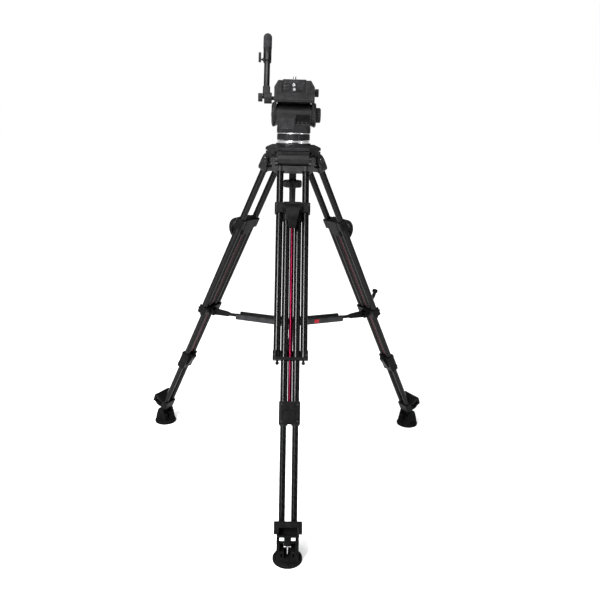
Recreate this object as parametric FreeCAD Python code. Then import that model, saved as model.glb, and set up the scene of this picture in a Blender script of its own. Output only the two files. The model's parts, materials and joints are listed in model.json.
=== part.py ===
"""Two-stage carbon tripod with a mid-level spreader and a fluid head, one STEP per piece, in millimetres.

The model is drawn about the bowl's vertical axis and exported with the middle of its footprint at the
origin. A leg is drawn hanging straight down from its hinge, with its outward side facing -Y: x is across
the leg, n is the distance outward from the leg's centre plane and s is the distance down from the hinge.
"""

import FreeCAD
import Part
import math
import os

V = FreeCAD.Vector
X, Y, Z = V(1, 0, 0), V(0, 1, 0), V(0, 0, 1)
ORIGIN = V(0, 0, 0)

# Stance
FOOT_CIRCLE_R = 575.0
HINGE_R = 68.0
HINGE_Z = 1073.5
SPLAY_DEG = 26.48
ANKLE_S = (FOOT_CIRCLE_R - HINGE_R) / math.sin(math.radians(SPLAY_DEG))
PIVOT_Z = HINGE_Z - ANKLE_S * math.cos(math.radians(SPLAY_DEG))
LEG_TURNS = {"front": 0.0, "right": 120.0, "left": 240.0}

# Running clearances
SHAFT_GAP = 0.05
BODY_GAP = 0.4

# Leg tubes
OUTER_X, OUTER_R = 40.0, 10.5
MID_X, MID_R = 17.5, 10.4
LOWER_R = 8.9
TUBE_WALL = 1.4
ROD_R = 6.2
CARRIAGE_S = {"front": 160.0, "right": 246.0, "left": 246.0}
STAGE_TWO = 622.0
LOWER_TUBE_LENGTH = 520.0

# Hinge and top casting
BARREL_R = 19.5
BARREL_HALF = 49.0
PIN_R = 5.0
EAR_IN, EAR_OUT = 57.5, 66.0
EAR_DEPTH = 22.0
SLEEVE_R = 13.2
HOOP_TOP_S, HOOP_BOTTOM_S = 24.0, 40.0
TUBE_TOP_S = 28.0

# Lower bracket and spreader
BRACKET_S0, BRACKET_S1 = 601.0, 630.0
BUMPER_X, BUMPER_R = 38.5, 5.6
STRUT_S, STRUT_N = 621.0, -30.0
STRUT_PIN_R = 4.0
HUB_R = 24.0
ARM_DROP_DEG = 3.0
RAIL_GAP, RAIL_W, RAIL_H = 18.0, 12.0, 22.0
RAIL_LENGTH = 189.0
STRUT_W = 14.0

# Bowl and head
BOWL_Z = 1124.5
BALL_R = 51.0
CROWN_RIM_R = 55.6
FLANGE_H = 8.0
BASE_Z = 1156.0
TILT_Z = 1212.0
DRUM_R = 34.0
HOUSING_HALF = 56.0
ARM_IN, ARM_OUT = 57.0, 62.6
COVER_OUT = 70.0
COVER_R = 38.0
TRUNNION_R = 12.0
BLOCK_Z0, BLOCK_Z1 = 1249.0, 1312.5
BLOCK_HALF_X, BLOCK_HALF_Y = 62.6, 62.0
PLATE_RISE = 3.0
PLATE_FRONT, PLATE_BACK = -55.0, 60.0
SCREW_R = 4.76
BAR_X, BAR_Z = -88.5, 1261.0
BAR_LEAN_DEG = 30.0


def box(x0, x1, y0, y1, z0, z1):
    return Part.makeBox(x1 - x0, y1 - y0, z1 - z0, V(x0, y0, z0))


def rounded(x0, x1, y0, y1, z0, z1, radius, axis=None):
    """A box whose edges are rounded: all of them, or those along one axis."""
    body = box(x0, x1, y0, y1, z0, z1)
    edges = body.Edges
    if axis is not None:
        edges = [e for e in edges if abs(abs(e.tangentAt(e.FirstParameter).dot(axis)) - 1) < 1e-6]
    return body.makeFillet(radius, edges)


def rod(radius, start, end):
    """A solid cylinder from one point to another."""
    return Part.makeCylinder(radius, (end - start).Length, start, end - start)


def tube(radius, wall, start, end):
    return rod(radius, start, end).cut(rod(radius - wall, start, end))


def turned(profile, base=ORIGIN, axis=Z):
    """A solid turned about the Z axis from (radius, z) points."""
    wire = Part.makePolygon([V(r, 0, z) for r, z in profile] + [V(profile[0][0], 0, profile[0][1])])
    solid = Part.Face(wire).revolve(ORIGIN, Z, 360)
    solid.Placement = FreeCAD.Placement(base, FreeCAD.Rotation(Z, axis))
    return solid


def union(shapes):
    joined = shapes[0].multiFuse(shapes[1:]) if len(shapes) > 1 else shapes[0]
    return joined.removeSplitter()


def minus(shape, cutters):
    return shape.cut(Part.makeCompound(cutters)) if cutters else shape


def prism(points, half_width):
    """An outline in the (y, z) plane, extruded evenly both ways along X."""
    wire = Part.makePolygon([V(-half_width, y, z) for y, z in points] + [V(-half_width, *points[0])])
    return Part.Face(wire).extrude(V(2 * half_width, 0, 0))


def flutes_x(radius, circle_r, count, x0, x1, y, z):
    """Round cutters along X, evenly spaced on a circle, that shape a knob's grip."""
    angles = [2 * math.pi * k / count for k in range(count)]
    centres = [(y + circle_r * math.cos(a), z + circle_r * math.sin(a)) for a in angles]
    return [rod(radius, V(x0, cy, cz), V(x1, cy, cz)) for cy, cz in centres]


def flutes_z(radius, circle_r, count, z0, z1, turn=0.0):
    """The same cutters along Z about the bowl's axis, turned by a part of their spacing."""
    angles = [2 * math.pi * (k + turn) / count for k in range(count)]
    centres = [(circle_r * math.cos(a), circle_r * math.sin(a)) for a in angles]
    return [rod(radius, V(cx, cy, z0), V(cx, cy, z1)) for cx, cy in centres]


def leg_box(x0, x1, n0, n1, s0, s1, radius=0.0, axis=None):
    if radius:
        return rounded(x0, x1, -n1, -n0, -s1, -s0, radius, axis)
    return box(x0, x1, -n1, -n0, -s1, -s0)


def leg_rod(radius, x, s0, s1, n=0.0):
    return rod(radius, V(x, -n, -s0), V(x, -n, -s1))


def both(make):
    """The same piece at -1 and at +1."""
    return [make(side) for side in (-1, 1)]


def leg_prism(points, half_width):
    """An outline of (n, s) points, extruded evenly both ways across the leg."""
    return prism([(-n, -s) for n, s in points], half_width)


def on_leg(shape, name):
    """Takes a piece from the hanging leg's frame to its splayed place on the named leg."""
    placed = shape.copy()
    placed.rotate(ORIGIN, X, -SPLAY_DEG)
    placed.translate(V(0, -HINGE_R, HINGE_Z))
    placed.rotate(ORIGIN, Z, LEG_TURNS[name])
    return placed


def on_arm(shape, name):
    """Turns a piece drawn on the front side, towards -Y, to the named leg's side."""
    placed = shape.copy()
    placed.rotate(ORIGIN, Z, LEG_TURNS[name])
    return placed


# ---- bowl ----

def crown():
    outside = turned([
        (0, 1058), (34, 1058), (40, 1064), (52, 1096), (60, 1106), (CROWN_RIM_R, BOWL_Z), (0, BOWL_Z),
    ])
    solids = [outside]
    for name in LEG_TURNS:
        top = [(0, 1121), (-54, 1121), (-72, 1112.5), (-75, 1110), (-75, 1103), (-60, 1098), (0, 1098)]
        lobe = prism(top, BARREL_HALF)
        lobe = minus(lobe, both(corner_cut))
        barrel = rod(BARREL_R, V(-BARREL_HALF, -HINGE_R, HINGE_Z), V(BARREL_HALF, -HINGE_R, HINGE_Z))
        web = box(-42, 42, -HINGE_R, -30, 1064, 1102)
        cheeks = both(lambda side: box(*sorted((side * 49, side * 34)), -74, -40, 1088, 1100))
        solids += [on_arm(piece, name) for piece in (lobe, barrel, web, *cheeks)]
    body = union(solids)
    cuts = [
        Part.makeSphere(BALL_R + BODY_GAP, V(0, 0, BOWL_Z)),
        rod(26, V(0, 0, 1040), V(0, 0, 1090)),
    ]
    for name in LEG_TURNS:
        pin = rod(PIN_R + SHAFT_GAP, V(-90, -HINGE_R, HINGE_Z), V(90, -HINGE_R, HINGE_Z))
        pocket = box(-33, 33, -90, -79, 1094, 1101)
        cuts += [on_arm(pin, name), on_arm(pocket, name)]
    return minus(body, cuts)


def corner_cut(side):
    """The sloping corner between a lobe's top and its end."""
    wire = Part.makePolygon([V(side * 50, -90, 1125), V(side * 38, -90, 1125), V(side * 50, -90, 1113),
                             V(side * 50, -90, 1125)])
    return Part.Face(wire).extrude(V(0, 90, 0))


def hinge_pins():
    pins = []
    for name in LEG_TURNS:
        mid = V(0, -HINGE_R, HINGE_Z)
        shaft = rod(PIN_R, mid - X * (EAR_OUT + 2), mid + X * (EAR_OUT + 2))
        heads = both(lambda k: rod(8, mid + X * k * (EAR_OUT + BODY_GAP), mid + X * k * (EAR_OUT + 4)))
        spacers = both(lambda k: rod(8, mid + X * k * (BARREL_HALF + 0.1), mid + X * k * (EAR_IN - 0.3)))
        pins.append(on_arm(union([shaft, *heads, *spacers]), name))
    return Part.makeCompound(pins)


# ---- legs ----

def top_casting():
    half = EAR_DEPTH / 2
    ears = both(lambda side: rod(half, V(side * EAR_IN, 0, 0), V(side * EAR_OUT, 0, 0)))
    webs = both(lambda side: box(*sorted((side * EAR_IN, side * EAR_OUT)), -half, half, -25.5, 0))
    bar = leg_box(-EAR_OUT, EAR_OUT, -half, half, HOOP_TOP_S, HOOP_BOTTOM_S)
    bar = bar.makeFillet(15, [e for e in bar.Edges if on_hoop_corner(e)])
    sleeves = both(lambda side: leg_rod(SLEEVE_R, side * OUTER_X, HOOP_TOP_S + 1, HOOP_BOTTOM_S + 2))
    hoop = union([*ears, *webs, bar, *sleeves])
    sockets = both(lambda side: leg_rod(OUTER_R, side * OUTER_X, TUBE_TOP_S, 60))
    pin = rod(PIN_R + SHAFT_GAP, V(-90, 0, 0), V(90, 0, 0))
    return minus(hoop, [*sockets, pin])


def on_hoop_corner(edge):
    """True for the two lower outside corners of the hoop, which run along Y."""
    a, b = edge.Vertexes[0].Point, edge.Vertexes[1].Point
    return abs(a.x - b.x) < 0.01 and abs(a.z - b.z) < 0.01 and a.z < -HOOP_BOTTOM_S + 0.01


def outer_tubes():
    return Part.makeCompound(both(lambda side: tube(
        OUTER_R, TUBE_WALL, V(side * OUTER_X, 0, -TUBE_TOP_S), V(side * OUTER_X, 0, -(BRACKET_S1 - 4)))))


def inner_way(s0, s1):
    """The opening that the middle tubes and the rod run through."""
    holes = both(lambda side: leg_rod(MID_R + BODY_GAP, side * MID_X, s0, s1))
    return union([*holes, leg_box(-MID_X, MID_X, -7, 7, s0, s1)])


def lower_bracket():
    body = leg_box(-52.5, 52.5, -16, 16, BRACKET_S0, BRACKET_S1, 8, Z)
    tip = STRUT_N - 7
    lug = leg_prism([(-12, 604), (-24, 611), (tip, 615), (tip, 627), (-24, 630), (-12, 630)], 15)
    boss = rod(7.5, V(-15, -STRUT_N, -STRUT_S), V(15, -STRUT_N, -STRUT_S))
    body = union([body, lug, boss])
    sockets = both(lambda side: leg_rod(OUTER_R, side * OUTER_X, BRACKET_S0 - 1, BRACKET_S1 - 4))
    slot = leg_box(-8.5, 8.5, -60, -17, 580, 650)
    pin = rod(STRUT_PIN_R, V(-20, -STRUT_N, -STRUT_S), V(20, -STRUT_N, -STRUT_S))
    window = leg_box(-42, 42, 3, 60, BRACKET_S0 - 1, 621)
    body = minus(body, [*sockets, slot, window, inner_way(580, 650)])
    body = body.fuse(pin).removeSplitter()
    bumpers = both(lambda side: union([
        leg_rod(3.5, side * BUMPER_X, BRACKET_S1, BRACKET_S1 + 8),
        Part.makeSphere(BUMPER_R, V(side * BUMPER_X, 0, -(BRACKET_S1 + 8))),
    ]))
    return Part.makeCompound([body, *bumpers])


def carriage(s):
    sleeves = both(lambda side: leg_box(
        *sorted((side * 25.5, side * 55)), -14.5, 14.5, s - 16, s + 16, 6, Z))
    bridge = leg_box(-27, 27, -15, 17, s - 17, s + 20)
    shoulders = both(lambda side: leg_rod(13.2, side * MID_X, s + 10, s + 41))
    middle = leg_box(-MID_X, MID_X, -13.2, 13.2, s + 10, s + 41)
    ears = both(lambda side: leg_prism(
        [(10, s - 12), (22, s - 12), (29, s - 4), (29, s + 6), (20, s + 14), (10, s + 14)], 2.5).translated(
            V(side * 26.0, 0, 0)))
    body = union([*sleeves, bridge, *shoulders, middle, *ears])
    bores = both(lambda side: leg_rod(OUTER_R + 0.3, side * OUTER_X, s - 40, s + 60))
    seats = both(lambda side: leg_rod(MID_R, side * MID_X, s + 6, s + 60))
    pivot = rod(3.0 + SHAFT_GAP, V(-40, -23, -s), V(40, -23, -s))
    pull = leg_rod(ROD_R + 0.3, 0, s + 12, s + 60)
    recess = leg_box(-16, 16, 13, 30, s - 9, s - 2)
    return minus(body, [*bores, *seats, pivot, pull, recess])


def lock_lever(s):
    """A curved paddle from the pivot at the carriage, bulging outward and back in to the tubes."""
    outline = arc_strap(s)
    paddle = outline.extrude(V(46, 0, 0)).translated(V(-23, 0, 0))
    taper = Part.makePolygon([V(-23.2, -99, -s + 12), V(23.2, -99, -s + 12), V(23.2, -99, -s - 8),
                              V(8, -99, -s - 78), V(-8, -99, -s - 78), V(-23.2, -99, -s - 8),
                              V(-23.2, -99, -s + 12)])
    paddle = paddle.common(Part.Face(taper).extrude(V(0, 99, 0)))
    hub = rod(5.5, V(-23, -23, -s), V(23, -23, -s))
    pin = rod(3.0, V(-30, -23, -s), V(30, -23, -s))
    return union([paddle, hub, pin])


def arc_strap(s):
    """The side outline of the paddle: an outer and an inner arc joined at the two ends."""
    root_out, bulge_out, tip_out = V(0, -27, -s + 5), V(0, -52, -s - 30), V(0, -30, -s - 72)
    tip_in, bulge_in, root_in = V(0, -23, -s - 68), V(0, -41, -s - 32), V(0, -21, -s - 5)
    edges = [
        Part.Arc(root_out, bulge_out, tip_out).toShape(),
        Part.LineSegment(tip_out, tip_in).toShape(),
        Part.Arc(tip_in, bulge_in, root_in).toShape(),
        Part.LineSegment(root_in, root_out).toShape(),
    ]
    return Part.Face(Part.Wire(edges))


def mid_tubes(s):
    return Part.makeCompound(both(lambda side: tube(
        MID_R, 1.2, V(side * MID_X, 0, -(s + 6)), V(side * MID_X, 0, -(s + STAGE_TWO + 20)))))


def pull_rod(s):
    return leg_rod(ROD_R, 0, s + 44, s + STAGE_TWO - 30)


def lock_block(s):
    c = s + STAGE_TWO
    body = leg_box(-31, 31, -15, 15, c - 33, c + 33, 7, Z)
    lug = leg_prism([(-14, c - 33), (-25, c - 31), (-27, c - 24), (-20, c + 12), (-14, c + 22)], 12)
    lug = lug.cut(rod(3.4, V(-20, 20.5, -(c - 22)), V(20, 20.5, -(c - 22))))
    cam = leg_prism([(14, c - 10), (19, c - 6), (19, c + 14), (14, c + 20)], 14)
    body = union([body, lug, cam])
    seats = both(lambda side: leg_rod(MID_R, side * MID_X, c - 40, c + 20))
    ways = both(lambda side: leg_rod(LOWER_R + 0.3, side * MID_X, c, c + 50))
    return minus(body, [*seats, *ways, leg_rod(ROD_R + 0.3, 0, c - 40, c - 8)])


def lower_tubes():
    end = ANKLE_S - 30
    return Part.makeCompound(both(lambda side: tube(
        LOWER_R, TUBE_WALL, V(side * MID_X, 0, -(end - LOWER_TUBE_LENGTH)), V(side * MID_X, 0, -end))))


def ankle():
    p = ANKLE_S
    block = leg_box(-29, 29, -14, 15, p - 48, p - 16, 6, Z)
    stem = leg_box(-10, 10, -9, 9, p - 20, p + 9, 3, Z)
    axle = rod(4.0, V(-31.5, 0, -p), V(31.5, 0, -p))
    spike = Part.makeCone(3.2, 0.8, 24, V(0, 0, -(p + 8)), V(0, 0, -1))
    roof = [(10, p - 52), (41, p - 62), (48, p - 56), (45, p - 24), (26, p - 16), (12, p - 16),
            (12, p - 24), (24, p - 25), (36, p - 31), (39, p - 51), (12, p - 42)]
    loop = leg_prism(roof, 39)
    window = leg_box(-28, 28, 18, 60, p - 46, p - 24)
    sides = leg_box(-60, 60, 5, 60, p - 70, p).cut(leg_box(-39, 39, 0, 70, p - 70, p - 16, 9, Y))
    waist = leg_box(-60, 60, 5, 60, p - 28, p).cut(leg_box(-31, 31, 0, 70, p - 28, p))
    loop = minus(loop, [window, sides, waist])
    body = union([block, stem, axle, loop])
    seats = both(lambda side: leg_rod(LOWER_R, side * MID_X, p - 60, p - 30))
    body = minus(body, seats)
    return body.fuse(spike).removeSplitter()


def shoe():
    """The rubber foot, drawn upright with its pivot on the leg's line and its sole on the floor."""
    y = -FOOT_CIRCLE_R
    top = PIVOT_Z + 12
    pad = turned([(0, 0), (40, 0), (42, 2), (42, 8), (38, 13), (24, 15), (0, 15)], V(0, y, 0))
    side = [(y - 27, 10), (y + 24, 10), (y + 17, 40), (y + 11, PIVOT_Z + 6), (y + 6, top), (y - 6, top),
            (y - 11, PIVOT_Z + 6), (y - 19, 40)]
    body = union([pad, prism(side, 31)])
    yoke = box(-22.5, 22.5, y - 50, y + 50, 39, 90)
    slot = box(-10, 10, y - 50, y + 50, 19, 90)
    windows = both(lambda k: rounded(*sorted((k * 14, k * 19)), y - 50, y + 50, 22, 34, 2, Y))
    pin = rod(4.0 + SHAFT_GAP, V(-40, y, PIVOT_Z), V(40, y, PIVOT_Z))
    return minus(body, [pin, yoke, slot, *windows])


# ---- spreader ----

def strut_pivot():
    """Where the strut hinges on the lower bracket, as (radius, z)."""
    a = math.radians(SPLAY_DEG)
    r = HINGE_R + STRUT_S * math.sin(a) + STRUT_N * math.cos(a)
    z = HINGE_Z - STRUT_S * math.cos(a) + STRUT_N * math.sin(a)
    return r, z


def hub_z():
    r, z = strut_pivot()
    return z + (r - HUB_R) * math.tan(math.radians(ARM_DROP_DEG))


def drop(shape):
    """Tilts an arm piece drawn level at the hub's height down about the hub's hinge line."""
    placed = shape.copy()
    placed.rotate(V(0, -HUB_R, hub_z()), X, ARM_DROP_DEG)
    return placed


def spreader_hub():
    z = hub_z()
    core = turned([(0, z - 10), (13, z - 10), (15, z - 7), (15, z + 8), (11, z + 12), (0, z + 12)])
    pieces = [core]
    for name in LEG_TURNS:
        tongue = box(-7, 7, -HUB_R, -8, z - 6, z + 6)
        knuckle = rod(6, V(-7, -HUB_R, z), V(7, -HUB_R, z))
        pin = rod(3, V(-19, -HUB_R, z), V(19, -HUB_R, z))
        pieces += [on_arm(union([tongue, knuckle, pin]), name)]
    return union(pieces)


def spreader_rail(name):
    z = hub_z()
    half = RAIL_H / 2
    start = HUB_R + RAIL_LENGTH
    inner, outer = RAIL_GAP / 2, RAIL_GAP / 2 + RAIL_W
    rails = []
    for side in (-1, 1):
        bar = box(*sorted((side * inner, side * outer)), -start, -HUB_R, z - half, z + half)
        bar = bar.makeFillet(3.5, [e for e in bar.Edges if abs(e.Vertexes[0].Y - e.Vertexes[1].Y) > 50])
        nose = rod(half, V(side * inner, -HUB_R, z), V(side * outer, -HUB_R, z))
        rails.append(union([bar, nose]).cut(rod(3 + SHAFT_GAP, V(-40, -HUB_R, z), V(40, -HUB_R, z))))
    link = box(-outer + 2, outer - 2, -HUB_R - 26, -HUB_R - 13, z - half + 1, z + half - 1)
    body = union([*rails, link])
    if name == "right":
        body = body.cut(button_body(0.0, 0.3))
    return on_arm(drop(body), name)


def button_body(start, grow=0.0):
    """The release button's outline, through the near rail of the right arm."""
    z = hub_z()
    return rounded(-23.0, -start, -107 - grow, -90 + grow, z - 6 - grow, z + 6 + grow, 1.5, X)


def release_button():
    return on_arm(drop(button_body(12.5)), "right")


def spreader_strut(name):
    """Inner bar and connector, drawn along the arm's line from the bracket's hinge."""
    z = hub_z()
    end = HUB_R + (strut_pivot()[0] - HUB_R) / math.cos(math.radians(ARM_DROP_DEG))
    half = STRUT_W / 2
    bar = box(-half, half, -end, -160, z - 4, z + 4)
    hook = prism([(-end - 6, z - 7), (-end + 62, z - 7), (-end + 70, z - 4), (-end + 70, z + 4),
                  (-end + 52, z + 9), (-end + 30, z + 12), (-end + 14, z + 14), (-end, z + 9)], half)
    knuckle = rod(8.5, V(-half, -end, z), V(half, -end, z))
    body = union([bar, hook, knuckle])
    pin = rod(STRUT_PIN_R + SHAFT_GAP, V(-20, -end, z), V(20, -end, z))
    return on_arm(drop(body.cut(pin)), name)


def side_lever():
    """Curved hand lever on the outward face of the right lower bracket."""
    s = 618.0
    x = 41.0
    hub = rod(7, V(x, -16.4, -s), V(x, -28, -s))
    root_up, mid_up, tip_up = V(x - 4.5, -24, -s + 5), V(x - 4.5, -46, -s + 9), V(x - 4.5, -74, -s + 30)
    tip_low, mid_low, root_low = V(x - 4.5, -80, -s + 22), V(x - 4.5, -50, -s - 1), V(x - 4.5, -24, -s - 5)
    edges = [
        Part.Arc(root_up, mid_up, tip_up).toShape(),
        Part.LineSegment(tip_up, tip_low).toShape(),
        Part.Arc(tip_low, mid_low, root_low).toShape(),
        Part.LineSegment(root_low, root_up).toShape(),
    ]
    arm = Part.Face(Part.Wire(edges)).extrude(V(9, 0, 0))
    end = rod(8, V(x - 7, -77, -s + 26), V(x + 7, -77, -s + 26))
    return union([hub, arm, end])


# ---- head ----

def half_ball():
    z = BOWL_Z
    ball = Part.makeSphere(BALL_R, V(0, 0, z)).common(rod(60, V(0, 0, z - 40), V(0, 0, z)))
    flange = rod(BALL_R, V(0, 0, z), V(0, 0, z + FLANGE_H))
    seat = rod(30, V(0, 0, z + FLANGE_H), V(0, 0, z + FLANGE_H + 22))
    hollow = Part.makeSphere(BALL_R - 8, V(0, 0, z)).common(rod(60, V(0, 0, z - 30), V(0, 0, z + 2)))
    ball = union([ball, flange, seat]).cut(hollow)
    stud = rod(6, V(0, 0, z - 40), V(0, 0, 1000))
    return Part.makeCompound([ball, stud])


def tie_down_knob():
    body = turned([(14, 1052), (24, 1048), (24, 1042), (12, 1038), (12, 1007), (28, 1007), (31, 1003),
                   (31, 988), (28, 984), (12, 984), (10.5, 976), (10.5, 906), (7, 900), (0, 900),
                   (0, 990), (6 + SHAFT_GAP, 990), (6 + SHAFT_GAP, 1052)])
    return minus(body, flutes_z(6, 34, 8, 980, 1012))


def pan_base():
    z = BASE_Z
    skirt = turned([(30.0, 1136.5), (46, 1136.5), (46, 1153.5), (50, 1153.8), (50, z), (30.0, z)])
    body = rounded(-53, 53, -50, 50, z, z + 19, 14, Z)
    bore = rod(30 + SHAFT_GAP, V(0, 0, 1130), V(0, 0, 1154.5))
    pocket = box(-46.3, 4.3, -51, -39.7, 1161.7, 1176)
    return minus(union([skirt, body]), [bore, pocket])


def drag_ring():
    ring = turned([(46.3, BOWL_Z + 9.5), (52.7, BOWL_Z + 9.5), (52.7, 1152.5), (46.3, 1153.2)])
    return minus(ring, flutes_z(6.5, 57.5, 12, 1136, 1149, 0.5))


def tilt_housing():
    drum = rod(DRUM_R, V(-HOUSING_HALF, 0, TILT_Z), V(HOUSING_HALF, 0, TILT_Z))
    saddle = [(-46, 1175.3), (46, 1175.3), (46, 1190), (33, TILT_Z), (-33, TILT_Z), (-46, 1190)]
    lower = prism(saddle, HOUSING_HALF - 4)
    plate = rounded(-46, 4, -51.5, -40, 1162, 1204, 3, Y)
    ledge = rounded(6, 50, -48, -40, 1176, 1184, 2, Y)
    body = union([drum, lower, plate, ledge])
    axis_bore = rod(TRUNNION_R + SHAFT_GAP, V(-80, 0, TILT_Z), V(80, 0, TILT_Z))
    chamber = rod(24, V(-40, 0, TILT_Z), V(40, 0, TILT_Z))
    return minus(body, [axis_bore, chamber])


def platform():
    z0, z1 = BLOCK_Z0, BLOCK_Z1
    side = [
        (-BLOCK_HALF_Y + 4, z0), (BLOCK_HALF_Y - 4, z0), (BLOCK_HALF_Y, z0 + 8), (BLOCK_HALF_Y - 6, z1),
        (-BLOCK_HALF_Y + 6, z1), (-BLOCK_HALF_Y, z0 + 8),
    ]
    block = minus(prism(side, BLOCK_HALF_X), both(chamfer_wedge))
    arms = both(lambda k: rod(COVER_R - 2, V(k * ARM_IN, 0, TILT_Z), V(k * ARM_OUT, 0, TILT_Z)))
    flank = prism([(-34, TILT_Z), (34, TILT_Z), (40, z0 + 2), (-40, z0 + 2)], (ARM_OUT - ARM_IN) / 2)
    necks = both(lambda k: flank.translated(V(k * (ARM_IN + ARM_OUT) / 2, 0, 0)))
    body = union([block, *arms, *necks])
    channel = prism_y(dovetail(BODY_GAP, z1 + 1), -90, 90)
    panel = box(-40, 36, -70, -53, 1275, z1 - 3)
    hollow = box(-50, 50, -46, 46, z0 + 6, z1 - 16)
    shafts = both(lambda k: rod(TRUNNION_R, V(k * 50, 0, TILT_Z), V(k * 80, 0, TILT_Z)))
    rosette = rod(6, V(-80, 0, BAR_Z), V(-BLOCK_HALF_X + 12, 0, BAR_Z))
    clamp_way = rod(4 + SHAFT_GAP, V(BLOCK_HALF_X - 16, -20, 1278.5), V(80, -20, 1278.5))
    return minus(body, [channel, panel, hollow, *shafts, rosette, clamp_way])


def chamfer_wedge(side):
    top = BLOCK_Z1 + 1
    wire = Part.makePolygon([V(side * 64, -70, top), V(side * 50, -70, top), V(side * 64, -70, top - 23),
                             V(side * 64, -70, top)])
    return Part.Face(wire).extrude(V(0, 140, 0))


def side_covers():
    covers = []
    for side in (-1, 1):
        a = ARM_OUT
        disc = turned([(0, a), (COVER_R, a), (COVER_R, a + 4), (COVER_R - 4, COVER_OUT), (0, COVER_OUT)],
                      V(0, 0, TILT_Z), X * side)
        trunnion = rod(TRUNNION_R, V(side * 42, 0, TILT_Z), V(side * (a + 1), 0, TILT_Z))
        cover = union([disc, trunnion])
        if side > 0:
            cover = cover.cut(rod(8 + SHAFT_GAP, V(60, 0, TILT_Z), V(80, 0, TILT_Z)))
        covers.append(cover)
    return Part.makeCompound(covers)


def slide_plate():
    z = BLOCK_Z1
    rise = z + PLATE_RISE
    foot = prism_y(dovetail(0.0, z + 1), PLATE_FRONT, PLATE_BACK)
    lip = [(-36, z + 0.5), (36, z + 0.5), (36, z + 1.5), (34.5, rise), (-34.5, rise), (-36, z + 1.5)]
    top = prism_y(lip, PLATE_FRONT, PLATE_BACK)
    return minus(union([foot, top]), [slot_cutter(5, z - 20, z + 20), slot_cutter(9, z - 9, z - 1)])


def slot_cutter(radius, z0, z1):
    """A round-ended slot along Y that the camera screws stand in."""
    ends = both(lambda k: rod(radius, V(0, k * 34, z0), V(0, k * 34, z1)))
    return union([box(-radius, radius, -34, 34, z0, z1), *ends])


def dovetail(gap, top):
    """The plate's dovetail section, grown by a gap, up to a given height."""
    low = BLOCK_Z1 - 8.6 - gap
    return [(-34 - gap, low), (34 + gap, low), (31 + gap, top), (-31 - gap, top)]


def prism_y(points, y0, y1):
    """An outline in the (x, z) plane, extruded along Y."""
    wire = Part.makePolygon([V(x, y0, z) for x, z in points] + [V(points[0][0], y0, points[0][1])])
    return Part.Face(wire).extrude(V(0, y1 - y0, 0))


def camera_screws():
    z = BLOCK_Z1
    return Part.makeCompound([union([
        rod(8.0, V(0, y, z - 7.6), V(0, y, z - 1.2)),
        rod(4.0, V(0, y, z - 2), V(0, y, z + PLATE_RISE + 0.5)),
        rod(SCREW_R, V(0, y, z + PLATE_RISE), V(0, y, z + PLATE_RISE + 10.5)),
    ]) for y in (-22, 22)])


def plate_knob():
    y, z = -20, 1278.5
    head = rod(12, V(BLOCK_HALF_X + 2, y, z), V(76, y, z))
    shaft = rod(4, V(BLOCK_HALF_X - 14, y, z), V(BLOCK_HALF_X + 3, y, z))
    return union([minus(head, flutes_x(4, 14, 6, 60, 80, y, z)), shaft])


def balance_knob():
    grip = turned([(0, 70.6), (23, 70.6), (23, 82), (20, 85), (0, 85)], V(0, 0, TILT_Z), X)
    spindle = rod(8, V(63.5, 0, TILT_Z), V(71, 0, TILT_Z))
    return union([minus(grip, flutes_x(3, 24.5, 18, 70, 90, 0, TILT_Z)), spindle])


def lean(shape):
    """Leans a pan bar piece, drawn upright over the rosette, back towards the operator."""
    placed = shape.copy()
    placed.rotate(V(BAR_X, 0, BAR_Z), X, -BAR_LEAN_DEG)
    return placed


def bar_clamp():
    rosette = rod(17, V(-95, 0, BAR_Z), V(-71, 0, BAR_Z))
    axle = rod(6 - SHAFT_GAP, V(-72, 0, BAR_Z), V(-BLOCK_HALF_X + 11, 0, BAR_Z))
    split = box(-96, -70, -1.5, 1.5, BAR_Z - 20, BAR_Z - 8)
    socket = rounded(-100, -77, -13, 13, BAR_Z + 8, BAR_Z + 36, 5, Z)
    body = union([rosette, axle, socket]).cut(split)
    seat = rod(9.5, V(BAR_X, 0, BAR_Z + 12), V(BAR_X, 0, BAR_Z + 60))
    screw = rod(4 + SHAFT_GAP, V(-115, 0, BAR_Z + 2), V(-86, 0, BAR_Z + 2))
    return lean(minus(body, [seat, screw]))


def bar_knob():
    z = BAR_Z + 2
    head = rod(13, V(-114, 0, z), V(-100.6, 0, z))
    shank = rod(4, V(-101, 0, z), V(-87, 0, z))
    return lean(union([minus(head, flutes_x(5, 16, 5, -115, -99, 0, z)), shank]))


def bar_tube():
    x = BAR_X
    sleeve = tube(9.5, 1.5, V(x, 0, BAR_Z + 12), V(x, 0, BAR_Z + 158))
    collar = tube(13.2, 13.2 - 9.5, V(x, 0, BAR_Z + 132), V(x, 0, BAR_Z + 158))
    boss = rod(5, V(x - 12, 0, BAR_Z + 140), V(x - 16, 0, BAR_Z + 140))
    body = union([sleeve, collar, boss])
    return lean(minus(body, [rod(2.5 + SHAFT_GAP, V(x - 30, 0, BAR_Z + 140), V(x - 9, 0, BAR_Z + 140)),
                             rod(8.0, V(x, 0, BAR_Z + 20), V(x, 0, BAR_Z + 170))]))


def bar_grip():
    x = BAR_X
    inner = tube(7.7, 1.2, V(x, 0, BAR_Z + 24), V(x, 0, BAR_Z + 180))
    collar = rod(13.2, V(x, 0, BAR_Z + 159), V(x, 0, BAR_Z + 180))
    grip = rod(14, V(x, 0, BAR_Z + 180), V(x, 0, BAR_Z + 222))
    dome = Part.makeSphere(14, V(x, 0, BAR_Z + 222))
    shell = union([collar, grip, dome]).cut(rod(7.7, V(x, 0, BAR_Z + 150), V(x, 0, BAR_Z + 180)))
    return lean(Part.makeCompound([inner, shell]))


def wing_screw():
    x, z = BAR_X - 24, BAR_Z + 140
    shank = rod(2.5, V(x + 1, 0, z), V(BAR_X - 10, 0, z))
    wing = rounded(x - 4, x + 4, -6, 6, z - 8, z + 24, 3, X)
    return lean(union([shank, wing]))


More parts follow.
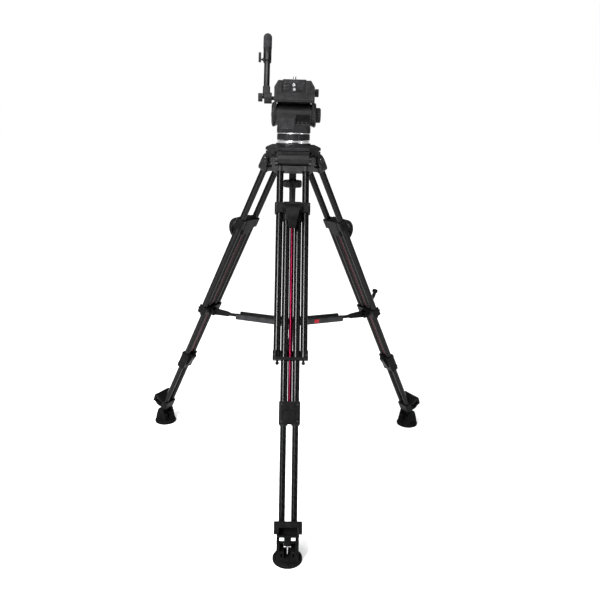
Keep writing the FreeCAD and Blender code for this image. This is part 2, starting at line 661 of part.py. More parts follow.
def leg_pieces():
    pieces = {}
    for name in LEG_TURNS:
        s = CARRIAGE_S[name]
        hanging = {
            "top_casting": top_casting(),
            "outer_tubes": outer_tubes(),
            "lower_bracket": lower_bracket(),
            "carriage": carriage(s),
            "lock_lever": lock_lever(s),
            "mid_tubes": mid_tubes(s),
            "pull_rod": pull_rod(s),
            "lock_block": lock_block(s),
            "lower_tubes": lower_tubes(),
            "ankle": ankle(),
        }
        for piece, shape in hanging.items():
            pieces[piece + "_" + name] = on_leg(shape, name)
        pieces["shoe_" + name] = on_arm(shoe(), name)
    return pieces


def spreader_pieces():
    pieces = {"spreader_hub": spreader_hub()}
    for name in LEG_TURNS:
        pieces["spreader_rail_" + name] = spreader_rail(name)
        pieces["spreader_strut_" + name] = spreader_strut(name)
    pieces["release_button"] = release_button()
    pieces["side_lever"] = on_leg(side_lever(), "right")
    return pieces


def head_pieces():
    makers = [
        crown, hinge_pins, half_ball, tie_down_knob, pan_base, drag_ring, tilt_housing, platform,
        side_covers, slide_plate, camera_screws, plate_knob, balance_knob, bar_clamp, bar_knob,
        bar_tube, bar_grip, wing_screw,
    ]
    return {make.__name__: make() for make in makers}


def footprint_shift(pieces):
    """How far the bowl's axis stands behind the middle of the footprint."""
    box_of_all = FreeCAD.BoundBox()
    for shape in pieces.values():
        box_of_all.add(shape.optimalBoundingBox())
    return -(box_of_all.YMin + box_of_all.YMax) / 2


os.makedirs("parts", exist_ok=True)
PIECES = {**leg_pieces(), **spreader_pieces(), **head_pieces()}
AXIS_Y = footprint_shift(PIECES)
for node, shape in PIECES.items():
    shape.translate(V(0, AXIS_Y, 0))
    shape.exportStep("parts/" + node + ".step")
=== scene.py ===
"""The visible model of the tripod with fluid head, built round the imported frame.

Every CAD node gets a softened copy: its mesh is welded, its edges are bevelled, and the bevels take a worn
version of the node's finish. Small parts such as bolts, ferrules and grips are built here in mesh code.
"""

import bmesh
import bpy
import json
import math
from mathutils import Matrix, Vector


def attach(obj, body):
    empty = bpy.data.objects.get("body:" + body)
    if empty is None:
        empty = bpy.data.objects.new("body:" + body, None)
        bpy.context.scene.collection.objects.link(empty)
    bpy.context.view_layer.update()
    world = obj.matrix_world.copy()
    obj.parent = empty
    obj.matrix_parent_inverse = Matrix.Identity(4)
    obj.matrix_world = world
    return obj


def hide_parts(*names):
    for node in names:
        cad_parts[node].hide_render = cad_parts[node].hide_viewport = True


MM = 0.001
LEGS = ("front", "right", "left")

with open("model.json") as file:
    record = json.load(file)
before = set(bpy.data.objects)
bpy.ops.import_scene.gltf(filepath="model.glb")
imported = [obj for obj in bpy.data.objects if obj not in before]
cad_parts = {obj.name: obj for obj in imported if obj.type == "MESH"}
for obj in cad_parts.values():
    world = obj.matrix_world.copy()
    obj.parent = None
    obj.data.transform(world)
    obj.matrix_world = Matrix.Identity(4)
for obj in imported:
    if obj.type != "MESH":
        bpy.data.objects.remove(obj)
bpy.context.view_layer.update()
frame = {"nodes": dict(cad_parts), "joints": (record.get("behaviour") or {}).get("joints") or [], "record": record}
record = frame["record"]
JOINTS = {j["name"]: j for j in frame["joints"]}
BODY_OF = {node: body for body, members in record["behaviour"]["bodies"].items() for node in members}
SLOT_OF = {part["node"]: part["material_slot"] for part in record["subparts"]}


# ---- places ----

def axes_matrix(x, y, z, origin):
    matrix = Matrix((x, y, z)).transposed().to_4x4()
    matrix.translation = origin
    return matrix


def leg_matrix(name):
    """The leg's own frame: x across the leg, y outward from it, z down from the hinge."""
    hinge = JOINTS["leg_fold_" + name]
    x = -Vector(hinge["axis"])
    down = Vector(JOINTS["stage_two_slide_" + name]["axis"])
    return axes_matrix(x, down.cross(x), down, Vector(hinge["pos_m"]))


LEG = {name: leg_matrix(name) for name in LEGS}
BOWL = Vector(JOINTS["pan"]["pos_m"])
BAR_PIVOT = Vector(JOINTS["pan_bar_angle"]["pos_m"])
BAR_UP = Vector(JOINTS["bar_extend"]["axis"])
BAR = axes_matrix(Vector((1, 0, 0)), BAR_UP.cross(Vector((1, 0, 0))), BAR_UP, BAR_PIVOT)
RIM_Z = BOWL.z / MM
TILT_Z = JOINTS["tilt"]["pos_m"][2] / MM


def down_leg(leg, joint):
    """How far down its leg a joint is at rest."""
    return (LEG[leg].inverted() @ Vector(JOINTS[joint + "_" + leg]["pos_m"])).z


CARRIAGE_S = {name: down_leg(name, "lock_lever_turn") for name in LEGS}
ANKLE_S = down_leg("front", "shoe_pivot")
STAGE_TWO = 622 * MM
BRACKET_S = 615 * MM
OUTER_X, INNER_X = 40.0, 17.5
COVER_X = 70.0
BLOCK_FRONT = -53.4
RECESS_X, RECESS_W = 28.0, 44.0
RECESS_SLOPE_DEG = 30.6


# ---- materials ----

TOW = 5.5 * MM
TOWS_ROUND = 12


class Look:
    """A node tree under one Principled shader, built up step by step."""

    def __init__(self, name, roughness=0.5, metallic=0.0, coat=0.0, coat_roughness=0.05, specular=0.5):
        self.material = bpy.data.materials.new(name)
        self.material.use_nodes = True
        self.tree = self.material.node_tree
        self.shader = self.tree.nodes["Principled BSDF"]
        self.shader.inputs["Roughness"].default_value = roughness
        self.shader.inputs["Metallic"].default_value = metallic
        self.shader.inputs["Coat Weight"].default_value = coat
        self.shader.inputs["Coat Roughness"].default_value = coat_roughness
        self.shader.inputs["Specular IOR Level"].default_value = specular
        self.coords = self.tree.nodes.new("ShaderNodeTexCoord").outputs["Object"]

    def node(self, kind, inputs=(), **settings):
        made = self.tree.nodes.new(kind)
        for key, value in settings.items():
            setattr(made, key, value)
        for key, value in dict(inputs).items():
            if isinstance(value, bpy.types.NodeSocket):
                self.tree.links.new(value, made.inputs[key])
            else:
                made.inputs[key].default_value = value
        return made

    def noise(self, size, detail=2.0, stretch=None):
        """Noise with blobs of about the given size in metres, stretched along an axis if asked."""
        coords = self.coords
        if stretch is not None:
            coords = self.node("ShaderNodeMapping", {"Vector": coords, "Scale": stretch}).outputs["Vector"]
        made = self.node("ShaderNodeTexNoise", {"Vector": coords, "Scale": 1 / size, "Detail": detail})
        return made.outputs["Fac"]

    def spread(self, value, low, high, start=0.35, end=0.65):
        """The value's usual range, taken to low and high."""
        made = self.node("ShaderNodeMapRange", {
            "Value": value, "From Min": start, "From Max": end, "To Min": low, "To Max": high})
        return made.outputs["Result"]

    def math(self, operation, a, b=0.0):
        return self.node("ShaderNodeMath", {0: a, 1: b}, operation=operation).outputs["Value"]

    def mix(self, factor, a, b):
        """A colour between a and b."""
        made = self.tree.nodes.new("ShaderNodeMix")
        made.data_type = "RGBA"
        for index, value in ((0, factor), (6, a), (7, b)):
            if isinstance(value, bpy.types.NodeSocket):
                self.tree.links.new(value, made.inputs[index])
            elif index:
                made.inputs[index].default_value = (*value, 1.0)
            else:
                made.inputs[index].default_value = value
        return made.outputs[2]

    def colour(self, value):
        self.tree.links.new(value, self.shader.inputs["Base Color"])

    def roughness(self, value):
        self.tree.links.new(value, self.shader.inputs["Roughness"])

    def bump(self, height, depth, strength=1.0):
        made = self.node("ShaderNodeBump", {"Height": height, "Distance": depth, "Strength": strength})
        self.tree.links.new(made.outputs["Normal"], self.shader.inputs["Normal"])


def painted(name, dark, pale, rough, grain, depth, worn=None, specular=0.12):
    """Satin paint or moulded plastic: mottled colour and roughness over a fine grain."""
    look = Look(name, rough, specular=specular)
    mottle = look.spread(look.noise(18 * MM, 4), 0, 1)
    base = look.mix(mottle, dark, pale)
    if worn is not None:
        rub = look.spread(look.noise(5 * MM, 5), 0, 1, 0.45, 0.6)
        base = look.mix(rub, base, worn)
    look.colour(base)
    look.roughness(look.spread(look.noise(9 * MM, 5), rough - 0.06, rough + 0.08))
    look.bump(look.noise(grain, 2), depth)
    return look.material


def machined(name, dark, pale, rough, worn=None):
    """Bare or anodised metal with the fine lines that the tool left."""
    look = Look(name, rough, metallic=1.0)
    lines = look.noise(4 * MM, 6, (1.0, 1.0, 14.0))
    cloud = look.spread(look.noise(25 * MM, 3), 0, 1)
    base = look.mix(cloud, dark, pale)
    if worn is not None:
        base = look.mix(look.spread(look.noise(4 * MM, 4), 0, 1, 0.45, 0.6), base, worn)
    look.colour(base)
    look.roughness(look.spread(lines, rough - 0.07, rough + 0.09))
    look.bump(lines, 0.02 * MM, 0.35)
    return look.material


def carbon(name, worn=False):
    """Lacquered 2x2 twill. The weave follows each tube, from the 'tube' attribute set on its mesh."""
    look = Look(name, 0.28, metallic=0.03, coat=0.18, coat_roughness=0.17, specular=0.03)
    place = look.node("ShaderNodeAttribute", attribute_name="tube").outputs["Vector"]
    split = look.node("ShaderNodeSeparateXYZ", {"Vector": place})
    turn = look.math("ARCTAN2", split.outputs["Y"], split.outputs["X"])
    u = look.math("MULTIPLY", turn, TOWS_ROUND / (2 * math.pi))
    v = look.math("DIVIDE", split.outputs["Z"], TOW)
    step = look.math("FLOORED_MODULO", look.math("ADD", look.math("FLOOR", u), look.math("FLOOR", v)), 4.0)
    over = look.math("LESS_THAN", step, 1.5)
    under = look.math("SUBTRACT", 1.0, over)
    round_u = look.math("PINGPONG", look.math("FRACT", u), 0.5)
    round_v = look.math("PINGPONG", look.math("FRACT", v), 0.5)
    height = look.math("ADD", look.math("MULTIPLY", over, round_u), look.math("MULTIPLY", under, round_v))
    lines = look.noise(1.1 * MM, 3, (1.0, 1.0, 0.25))
    pale = (0.005, 0.005, 0.0054) if worn else (0.003, 0.003, 0.0032)
    weave = look.mix(over, (0.001, 0.001, 0.0011), pale)
    gap = look.spread(height, 0, 1, 0.02, 0.14)
    weave = look.mix(gap, (0.0006, 0.0006, 0.0006), weave)
    look.colour(look.mix(look.spread(lines, 0, 0.5), weave, (0.002, 0.002, 0.0022)))
    look.roughness(look.spread(over, 0.22, 0.31, 0, 1))
    look.bump(height, 0.2 * MM, 0.25)
    return look.material


def anodised_red(name, worn=False):
    look = Look(name, 0.3, metallic=1.0)
    lines = look.noise(3 * MM, 6, (9.0, 9.0, 0.4))
    cloud = look.spread(look.noise(60 * MM, 3), 0, 1)
    pale = (0.08, 0.007, 0.016) if worn else (0.042, 0.0018, 0.007)
    look.colour(look.mix(cloud, (0.03, 0.001, 0.005), pale))
    look.roughness(look.spread(lines, 0.2, 0.34))
    look.bump(lines, 0.02 * MM, 0.3)
    return look.material


def rubbery(name, dark, pale, grain, depth, worn=None):
    look = Look(name, 0.72, specular=0.03)
    dust = look.spread(look.noise(14 * MM, 6), 0, 1, 0.4, 0.7)
    base = look.mix(dust, dark, pale)
    if worn is not None:
        base = look.mix(look.spread(look.noise(3 * MM, 4), 0, 1, 0.4, 0.6), base, worn)
    look.colour(base)
    look.roughness(look.spread(look.noise(6 * MM, 3), 0.62, 0.84))
    look.bump(look.noise(grain, 3), depth)
    return look.material


FINISH = {
    "black_casting": (
        painted("satin_paint", (0.0035, 0.0035, 0.0038), (0.0065, 0.0065, 0.007), 0.42, 0.6 * MM, 0.07 * MM),
        painted("satin_paint_worn", (0.008, 0.008, 0.0085), (0.013, 0.013, 0.014), 0.34, 0.5 * MM, 0.02 * MM,
                (0.035, 0.035, 0.037)),
    ),
    # Painted shade: a darker, less glossy copy of the casting paint for the castings low on the legs, standing for
    # the shade they lie in; its bevels still take the worn finish.
    "shade_darkened_casting": (
        painted("shade_darkened_paint", (0.002, 0.002, 0.0022), (0.0036, 0.0036, 0.0039), 0.4, 0.6 * MM, 0.07 * MM,
                specular=0.045),
        painted("shade_darkened_paint_worn", (0.005, 0.005, 0.0054), (0.009, 0.009, 0.0095), 0.32, 0.5 * MM, 0.02 * MM,
                (0.028, 0.028, 0.03), specular=0.08),
    ),
    "black_plastic": (
        painted("moulded_black", (0.003, 0.003, 0.0033), (0.0055, 0.0055, 0.006), 0.48, 0.35 * MM, 0.05 * MM),
        painted("moulded_black_worn", (0.006, 0.006, 0.0065), (0.01, 0.01, 0.011), 0.36, 0.35 * MM, 0.02 * MM,
                (0.022, 0.022, 0.023)),
    ),
    "red_plastic": (
        painted("moulded_red", (0.22, 0.006, 0.014), (0.28, 0.009, 0.02), 0.38, 0.4 * MM, 0.04 * MM),
        painted("moulded_red_worn", (0.25, 0.008, 0.018), (0.31, 0.015, 0.026), 0.3, 0.4 * MM, 0.02 * MM,
                (0.42, 0.06, 0.07)),
    ),
    "bright_aluminium": (
        machined("turned_aluminium", (0.62, 0.62, 0.64), (0.82, 0.82, 0.84), 0.24),
        machined("turned_aluminium_edge", (0.75, 0.75, 0.77), (0.9, 0.9, 0.92), 0.18),
    ),
    "steel": (
        machined("ground_steel", (0.42, 0.42, 0.44), (0.62, 0.62, 0.63), 0.3),
        machined("ground_steel_edge", (0.55, 0.55, 0.56), (0.75, 0.75, 0.76), 0.24),
    ),
    "dark_anodised": (
        machined("black_anodised", (0.022, 0.022, 0.023), (0.036, 0.036, 0.038), 0.36),
        machined("black_anodised_worn", (0.04, 0.04, 0.042), (0.06, 0.06, 0.062), 0.3, (0.17, 0.17, 0.175)),
    ),
    "red_anodised": (anodised_red("crimson_anodised"), anodised_red("crimson_anodised_edge", True)),
    "carbon_fibre": (carbon("carbon_twill"), carbon("carbon_twill_edge", True)),
    "rubber": (
        rubbery("black_rubber", (0.0018, 0.0018, 0.002), (0.004, 0.004, 0.004), 0.5 * MM, 0.08 * MM),
        rubbery("black_rubber_scuffed", (0.0035, 0.0035, 0.0035), (0.007, 0.007, 0.007), 0.4 * MM, 0.08 * MM,
                (0.014, 0.0137, 0.013)),
    ),
    "grip_rubber": (
        rubbery("grey_rubber", (0.013, 0.013, 0.014), (0.022, 0.022, 0.023), 0.45 * MM, 0.1 * MM),
        rubbery("grey_rubber_rubbed", (0.02, 0.02, 0.021), (0.03, 0.03, 0.031), 0.45 * MM, 0.06 * MM,
                (0.045, 0.045, 0.047)),
    ),
}


# ---- mesh tools ----

def new_object(name, mesh):
    obj = bpy.data.objects.new(name, mesh)
    bpy.context.scene.collection.objects.link(obj)
    return obj


def dress(obj, slot):
    obj.data.materials.clear()
    for material in FINISH[slot]:
        obj.data.materials.append(material)


def finish_edges(obj, width, angle=32, segments=2):
    """Bevels the hard edges, gives the bevels the worn finish, and applies it all to the mesh."""
    bevel = obj.modifiers.new("edges", "BEVEL")
    bevel.width = width
    bevel.segments = segments
    bevel.limit_method = "ANGLE"
    bevel.angle_limit = math.radians(angle)
    bevel.use_clamp_overlap = True
    bevel.miter_outer = "MITER_ARC"
    bevel.material = 1
    normals = obj.modifiers.new("normals", "WEIGHTED_NORMAL")
    normals.keep_sharp = True
    normals.weight = 80
    apply_modifiers(obj)


def apply_modifiers(obj):
    bpy.context.view_layer.update()
    evaluated = obj.evaluated_get(bpy.context.evaluated_depsgraph_get())
    mesh = bpy.data.meshes.new_from_object(evaluated)
    old = obj.data
    obj.modifiers.clear()
    obj.data = mesh
    bpy.data.meshes.remove(old)


def smooth(mesh, angle=32):
    for polygon in mesh.polygons:
        polygon.use_smooth = True
    mesh.set_sharp_from_angle(angle=math.radians(angle))


def family(node):
    """The node's name without the leg it belongs to."""
    for leg in LEGS:
        if node.endswith("_" + leg):
            return node[: -len(leg) - 1]
    return node


def softened(node, width, angle=32):
    """A copy of a CAD node with welded, bevelled edges, in the node's finish, standing for the node."""
    bm = bmesh.new()
    bm.from_mesh(frame["nodes"][node].data)
    bmesh.ops.remove_doubles(bm, verts=bm.verts, dist=0.02 * MM)
    bmesh.ops.dissolve_limit(bm, angle_limit=math.radians(1.0), verts=bm.verts, edges=bm.edges)
    mesh = bpy.data.meshes.new(node + "_body")
    bm.to_mesh(mesh)
    bm.free()
    smooth(mesh, angle)
    obj = new_object(node + "_body", mesh)
    # Castings low on the legs take the darker copy of the paint, which is painted shade.
    dress(obj, "shade_darkened_casting" if family(node) in SHADE_DARKENED_CASTINGS else SLOT_OF[node])
    finish_edges(obj, width, angle)
    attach(obj, BODY_OF[node])
    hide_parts(node)
    return obj


def stack(name, rings, slot, body, matrix=None, width=0.0):
    """A closed skin through rings of equally many points, capped at both ends."""
    bm = bmesh.new()
    made = [[bm.verts.new(p) for p in ring] for ring in rings]
    count = len(made[0])
    for low, high in zip(made, made[1:]):
        for i in range(count):
            j = (i + 1) % count
            bm.faces.new((low[i], low[j], high[j], high[i]))
    bm.faces.new(list(reversed(made[0])))
    bm.faces.new(made[-1])
    bmesh.ops.recalc_face_normals(bm, faces=bm.faces)
    if matrix is not None:
        bm.transform(matrix)
    mesh = bpy.data.meshes.new(name)
    bm.to_mesh(mesh)
    bm.free()
    smooth(mesh)
    obj = new_object(name, mesh)
    dress(obj, slot)
    if width:
        finish_edges(obj, width)
    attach(obj, body)
    return obj


def circle(radius, z, count=40):
    turns = [2 * math.pi * k / count for k in range(count)]
    return [Vector((radius * math.cos(a), radius * math.sin(a), z)) for a in turns]


def hexagon(across, z, count=24):
    """A hexagon of the given width across its flats, as a ring of points."""
    ring = []
    for k in range(count):
        a = 2 * math.pi * k / count
        off = (a + math.pi / 6) % (math.pi / 3) - math.pi / 6
        r = across / 2 / math.cos(off)
        ring.append(Vector((r * math.cos(a), r * math.sin(a), z)))
    return ring


def turned(name, profile, slot, body, matrix, width=0.0, count=40):
    """A piece turned about its local z axis, from (radius, z) points in millimetres."""
    rings = [circle(r * MM, z * MM, count) for r, z in profile]
    return stack(name, rings, slot, body, matrix, width * MM)


def bolt(name, place, axis, radius, height, slot, body):
    """A socket-head screw: a chamfered cap with a hexagonal recess."""
    z = Vector(axis).normalized()
    matrix = Matrix.Translation(place) @ z.to_track_quat("Z", "Y").to_matrix().to_4x4()
    rings = [
        circle(radius, -0.6 * MM, 24),
        circle(radius, height * 0.8, 24),
        circle(radius * 0.88, height, 24),
        circle(radius * 0.64, height, 24),
        hexagon(radius * 1.02, height * 0.98),
        hexagon(radius * 0.98, height * 0.35),
    ]
    return stack(name, rings, slot, body, matrix)


# ---- the softened CAD nodes ----

# The width of each family's bevels, in millimetres.
EDGE = {
    "crown": 1.2, "hinge_pins": 0.8, "half_ball": 0.5, "tie_down_knob": 0.9, "pan_base": 1.0,
    "drag_ring": 0.6, "tilt_housing": 0.9, "platform": 1.0, "side_covers": 0.6, "slide_plate": 0.6,
    "camera_screws": 0.5, "plate_knob": 0.8, "balance_knob": 0.8, "bar_clamp": 0.8, "bar_knob": 1.0,
    "bar_tube": 0.6, "wing_screw": 0.8, "spreader_hub": 0.8, "release_button": 0.5, "side_lever": 1.6,
    "top_casting": 2.6, "lower_bracket": 1.2, "carriage": 1.2, "lock_lever": 1.1, "lock_block": 1.3,
    "ankle": 1.3, "shoe": 1.4, "outer_tubes": 0.3, "mid_tubes": 0.3, "lower_tubes": 0.3,
    "pull_rod": 0.6, "spreader_rail": 0.6, "spreader_strut": 0.9,
}
BUILT_HERE = ("bar_grip",)
# Castings low on the legs, which take the darker copy of the casting paint as painted shade.
SHADE_DARKENED_CASTINGS = ("carriage", "lock_lever", "lock_block", "ankle", "lower_bracket", "spreader_hub",
                "spreader_strut", "side_lever")
LACQUER = 0.26 * MM
# Each pair's half spacing, and a radius that only its outer skin lies beyond.
TUBES = {"outer_tubes": (OUTER_X, 10.0), "mid_tubes": (INNER_X, 10.0), "lower_tubes": (INNER_X, 8.4)}


def mark_tubes(obj, node):
    """Stores each point's place round and along its tube, for the weave, and adds the lacquer's thickness."""
    place = LEG[node.rsplit("_", 1)[1]]
    middle, skin = TUBES[family(node)]
    into = place.inverted()
    values = []
    for vertex in obj.data.vertices:
        p = into @ vertex.co
        centre = Vector((math.copysign(middle * MM, p.x), 0, p.z))
        values += [p.x - centre.x, p.y, p.z]
        if (p - centre).length > skin * MM:
            vertex.co = place @ (p + (p - centre).normalized() * LACQUER)
    attribute = obj.data.attributes.new("tube", "FLOAT_VECTOR", "POINT")
    attribute.data.foreach_set("vector", values)


for node in sorted(frame["nodes"]):
    if node in BUILT_HERE:
        continue
    piece = softened(node, EDGE[family(node)] * MM)
    if SLOT_OF[node] == "carbon_fibre":
        mark_tubes(piece, node)


# ---- small parts on the head ----

def bevelled_box(name, size, place, slot, body, width, turn=None):
    """A block of the given size in millimetres about a place, turned if asked, with rounded edges."""
    bm = bmesh.new()
    bmesh.ops.create_cube(bm, size=1.0)
    bmesh.ops.scale(bm, vec=Vector(size) * MM, verts=bm.verts)
    matrix = Matrix.Translation(place)
    if turn is not None:
        matrix = matrix @ turn.to_4x4()
    bm.transform(matrix)
    mesh = bpy.data.meshes.new(name)
    bm.to_mesh(mesh)
    bm.free()
    smooth(mesh)
    obj = new_object(name, mesh)
    dress(obj, slot)
    finish_edges(obj, width * MM, segments=3)
    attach(obj, body)
    return obj


def head(x, y, z):
    """A place on the head, in millimetres from the bowl's axis and the floor."""
    return Vector((x, y, z)) * MM + Vector((BOWL.x, BOWL.y, 0))


def upright(x, y, z):
    return Matrix.Translation(head(x, y, z))


def panel_parts():
    """The recess in the platform's front: two covers, two bright screws between them, and two marks."""
    middle_z = TILT_Z + 80
    for name, x0, x1 in (("left", -34.0, -14.0), ("right", 8.0, 31.0)):
        x, wide = (x0 + x1) / 2, x1 - x0
        bevelled_box("panel_cover_" + name, (wide, 1.6, 19), head(x, BLOCK_FRONT, middle_z),
                     "black_plastic", "tilt_head", 0.5)
        bevelled_box("panel_plate_" + name, (wide - 7, 1.2, 11), head(x, BLOCK_FRONT - 1, middle_z),
                     "dark_anodised", "tilt_head", 0.3)
    for k, above in enumerate((7.0, -6.5)):
        place = head(-2.5 + 1.5 * k, BLOCK_FRONT, middle_z + above)
        bolt("panel_screw_%d" % k, place, (0, -1, 0), 4.6 * MM, 2.2 * MM, "steel", "tilt_head")
    for k, x in enumerate((-27.0, -8.0)):
        bevelled_box("platform_mark_%d" % k, (11, 0.8, 3.2), head(x, -61.3, TILT_Z + 56.5),
                     "black_plastic", "tilt_head", 0.3)


def gap_shade_strip():
    """A dark rubber strip in the gap between the tilting block and the drum, as painted shade for the gap."""
    bevelled_box("gap_shade_strip", (104, 48, 3.6), head(0, 0, TILT_Z + 36), "rubber", "tilt_head", 0.4)


def housing_parts():
    """The housing's recess and dials, with dark rubber sheets in the recess as painted shade, its blank front
    label, and the trim on the base and the rim.
    """
    for k, (x, r) in enumerate(((14.0, 4.2), (27.0, 4.2), (40.0, 5.2))):
        dial = [(r * 0.55, 0.0), (r, 0.3), (r, 4.4), (r * 0.8, 5.6), (r * 0.3, 5.6)]
        place = Matrix.Translation(head(x, -44, TILT_Z - 28.4))
        turned("recess_dial_%d" % k, dial, "black_plastic", "pan_head", place, 0.3, 24)
    bevelled_box("label_plate", (40, 0.9, 30), head(-21, -51.7, TILT_Z - 28.5),
                 "dark_anodised", "pan_head", 0.35)
    # Painted shade: two dark rubber sheets that line the recess, standing for the shade in it.
    bevelled_box("recess_shade_sheet", (RECESS_W, 0.9, 8), head(RECESS_X, -46.3, TILT_Z - 26),
                 "rubber", "pan_head", 0.2)
    lean = Matrix.Rotation(math.radians(-RECESS_SLOPE_DEG), 3, "X")
    bevelled_box("recess_shade_slope", (RECESS_W, 0.9, 24), head(RECESS_X, -39.8, TILT_Z - 10.9),
                 "rubber", "pan_head", 0.2, lean)
    low, high = RIM_Z + 28.7, RIM_Z + 31.7
    shine = [(49.4, low), (50.9, low), (50.9, high), (49.4, high)]
    tube_ring("base_shine_ring", shine, "bright_aluminium", "pan_head")
    bevelled_box("rim_lug", (32, 2.6, 3), head(0, -53.6, RIM_Z + 1.1), "black_plastic", "crown", 0.6)


def tube_ring(name, profile, slot, body, matrix=None, count=72):
    """A ring of a closed (radius, z) section in millimetres, about the bowl's axis or a given one."""
    bm = bmesh.new()
    rings = []
    for k in range(count):
        a = 2 * math.pi * k / count
        rings.append([bm.verts.new((r * MM * math.cos(a), r * MM * math.sin(a), z * MM)) for r, z in profile])
    for k in range(count):
        here, there = rings[k], rings[(k + 1) % count]
        for i in range(len(profile)):
            j = (i + 1) % len(profile)
            bm.faces.new((here[i], there[i], there[j], here[j]))
    bmesh.ops.recalc_face_normals(bm, faces=bm.faces)
    bm.transform(upright(0, 0, 0) if matrix is None else matrix)
    mesh = bpy.data.meshes.new(name)
    bm.to_mesh(mesh)
    bm.free()
    smooth(mesh)
    obj = new_object(name, mesh)
    dress(obj, slot)
    finish_edges(obj, 0.25 * MM)
    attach(obj, body)
    return obj


def cover_parts():
    """A raised ring, a middle screw and four small screws on the left end cover."""
    middle = head(-COVER_X, 0, TILT_Z)
    left = Matrix.Translation(middle) @ Matrix.Rotation(math.radians(-90), 4, "Y")
    ring = [(24, -0.6), (29, -0.6), (29, 1.2), (24, 1.2)]
    tube_ring("left_cover_ring", ring, "black_plastic", "tilt_head", left)
    bolt("left_cover_screw", middle, (-1, 0, 0), 6.5 * MM, 2.4 * MM, "dark_anodised", "tilt_head")
    for k in range(4):
        a = math.pi / 4 + math.pi / 2 * k
        place = head(0.4 - COVER_X, 18 * math.cos(a), TILT_Z + 18 * math.sin(a))
        bolt("left_cover_bolt_%d" % k, place, (-1, 0, 0), 2.6 * MM, 1.4 * MM, "dark_anodised", "tilt_head")


panel_parts()
gap_shade_strip()
housing_parts()
cover_parts()


# ---- bolts and ferrules on the legs ----

def leg_parts(name):
    """The screws on one leg's castings, the ferrules under its lock block, and its spike's bright skin."""
    place = LEG[name]
    outward = place.to_3x3() @ Vector((0, 1, 0))
    carriage = CARRIAGE_S[name]
    block = carriage + STAGE_TWO
    for side, label in ((-1, "a"), (1, "b")):
        def screw(piece, x, n, along, radius, body):
            bolt("%s_%s_%s" % (piece, name, label), place @ Vector((side * x * MM, n * MM, along)), outward,
                 radius * MM, radius * 0.8 * MM, "dark_anodised", body)

        screw("carriage_bolt", 49.5, 14.4, carriage - 8 * MM, 2.9, "stage_two_" + name)
        screw("block_bolt", 23.0, 14.9, block - 24 * MM, 3.0, "stage_two_" + name)
        screw("block_bolt_low", 23.0, 14.9, block + 24 * MM, 3.0, "stage_two_" + name)
        screw("bracket_bolt", 47.0, 15.9, BRACKET_S, 2.8, "leg_" + name)
        screw("ankle_bolt", 20.5, 14.9, ANKLE_S - 22 * MM, 2.6, "stage_three_" + name)
        seat = place @ Matrix.Translation((side * INNER_X * MM, 0, block + 32.5 * MM))
        tube_ring("block_ferrule_%s_%s" % (name, label), [(9.4, 0), (12.4, 0), (11.6, 4.5), (9.4, 4.5)],
                  "black_plastic", "stage_two_" + name, seat, 32)

    spike = [(2.6, 8.4), (3.45, 8.8), (3.3, 11.0), (1.05, 31.6), (0.3, 32.3)]
    point = place @ Matrix.Translation((0, 0, ANKLE_S))
    turned("spike_" + name, spike, "steel", "stage_three_" + name, point, count=24)


for leg in LEGS:
    leg_parts(leg)


# ---- the pan bar's grip ----

GRIP_R = 14.0
RIBS, RIB_START, RIB_STEP = 8, 181.0, 5.0


def bar_grip():
    """The grip's ribbed rubber with a round end, the collar under it, and the tube that slides in the bar."""
    collar = [(7.9, 159), (12.2, 159), (13.2, 160), (13.2, 178.6), (12.6, 180), (0.2, 180)]
    turned("grip_collar", collar, "black_plastic", "bar_grip", BAR, 0.4)
    rubber = [(12.6, 180.2)]
    for rib in range(RIBS):
        z = RIB_START + RIB_STEP * rib
        rubber += [(13.9, z + 0.5), (14.0, z + 3.2), (13.3, z + 3.7), (13.3, z + 4.4)]
    for k in range(9):
        a = math.pi / 2 * k / 8
        rubber.append((max(GRIP_R * math.cos(a), 0.3), 222 + GRIP_R * math.sin(a)))
    piece = turned("grip_rubber", rubber, "grip_rubber", "bar_grip", BAR)
    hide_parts("bar_grip")
    turned("grip_tube", [(7.7, 24), (7.7, 160)], "bright_aluminium", "bar_grip", BAR, 0.3)


bar_grip()


# ---- stage ----

def floor():
    size = 60.0
    bm = bmesh.new()
    bmesh.ops.create_grid(bm, x_segments=24, y_segments=24, size=size)
    mesh = bpy.data.meshes.new("floor")
    bm.to_mesh(mesh)
    bm.free()
    obj = new_object("floor", mesh)
    look = Look("pale_floor", 0.7, specular=0.2)
    look.colour(look.mix(look.noise(0.5, 3), (0.95, 0.95, 0.95), (0.97, 0.97, 0.97)))
    obj.data.materials.append(look.material)


def soft_light(name, place, target, width, height, power):
    data = bpy.data.lights.new(name, "AREA")
    data.shape = "RECTANGLE"
    data.size, data.size_y = width, height
    data.energy = power
    obj = bpy.data.objects.new(name, data)
    bpy.context.scene.collection.objects.link(obj)
    obj.location = place
    obj.rotation_euler = (Vector(target) - Vector(place)).to_track_quat("-Z", "Y").to_euler()


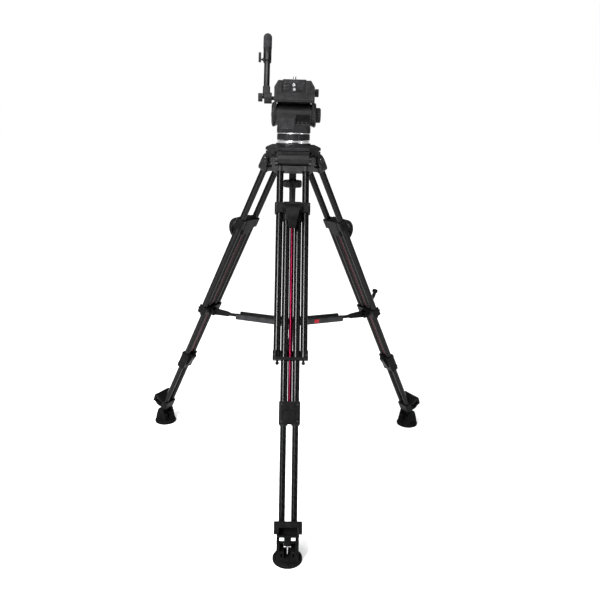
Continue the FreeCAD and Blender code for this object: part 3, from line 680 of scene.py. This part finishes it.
def camera():
    """The photograph's view: from the front leg's side, looking down a little."""
    yaw, down, roll = math.radians(1.575), math.radians(15.10), math.radians(1.405)
    forward = Vector((math.sin(yaw) * math.cos(down), math.cos(yaw) * math.cos(down), -math.sin(down)))
    right = Vector((math.cos(yaw), -math.sin(yaw), 0))
    up = right.cross(forward)
    across = right * math.cos(roll) + up * math.sin(roll)
    above = up * math.cos(roll) - right * math.sin(roll)
    data = bpy.data.cameras.new("camera")
    data.lens, data.sensor_width = 37.73, 36.0
    obj = bpy.data.objects.new("camera", data)
    bpy.context.scene.collection.objects.link(obj)
    obj.matrix_world = axes_matrix(across, above, -forward, Vector((-0.0235, -1.950, 1.165)))
    bpy.context.scene.camera = obj


def surroundings():
    """A white sweep behind the object, soft boxes at the front, and a large soft overhead sun."""
    world = bpy.data.worlds.new("studio")
    world.use_nodes = True
    nodes, links = world.node_tree.nodes, world.node_tree.links
    shade = nodes["Background"]
    shade.inputs["Color"].default_value = (1, 1, 1, 1)
    seen = nodes.new("ShaderNodeLightPath").outputs["Is Camera Ray"]
    level = nodes.new("ShaderNodeMapRange")
    level.inputs["To Min"].default_value = 0.16
    level.inputs["To Max"].default_value = 1.0
    links.new(seen, level.inputs["Value"])
    links.new(level.outputs["Result"], shade.inputs["Strength"])
    bpy.context.scene.world = world
    bpy.context.scene.view_settings.view_transform = "Standard"
    soft_light("key_box", (-1.8, -2.9, 2.7), (0, 0, 0.7), 0.85, 1.5, 360)
    soft_light("edge_box", (2.7, -1.4, 1.7), (0, 0, 0.8), 0.5, 1.8, 10)
    soft_light("head_box", (-0.5, -1.1, 2.25), (0, 0, 1.15), 0.5, 0.45, 17)
    soft_light("low_box", (-1.3, -2.9, 1.35), (0, -0.2, 0.4), 0.35, 0.9, 22)
    sun = bpy.data.lights.new("overhead", "SUN")
    sun.energy = 3.25
    sun.angle = math.radians(55)
    lamp = bpy.data.objects.new("overhead", sun)
    lamp.rotation_euler = (math.radians(12), math.radians(-6), 0)
    bpy.context.scene.collection.objects.link(lamp)


floor()
surroundings()
camera()
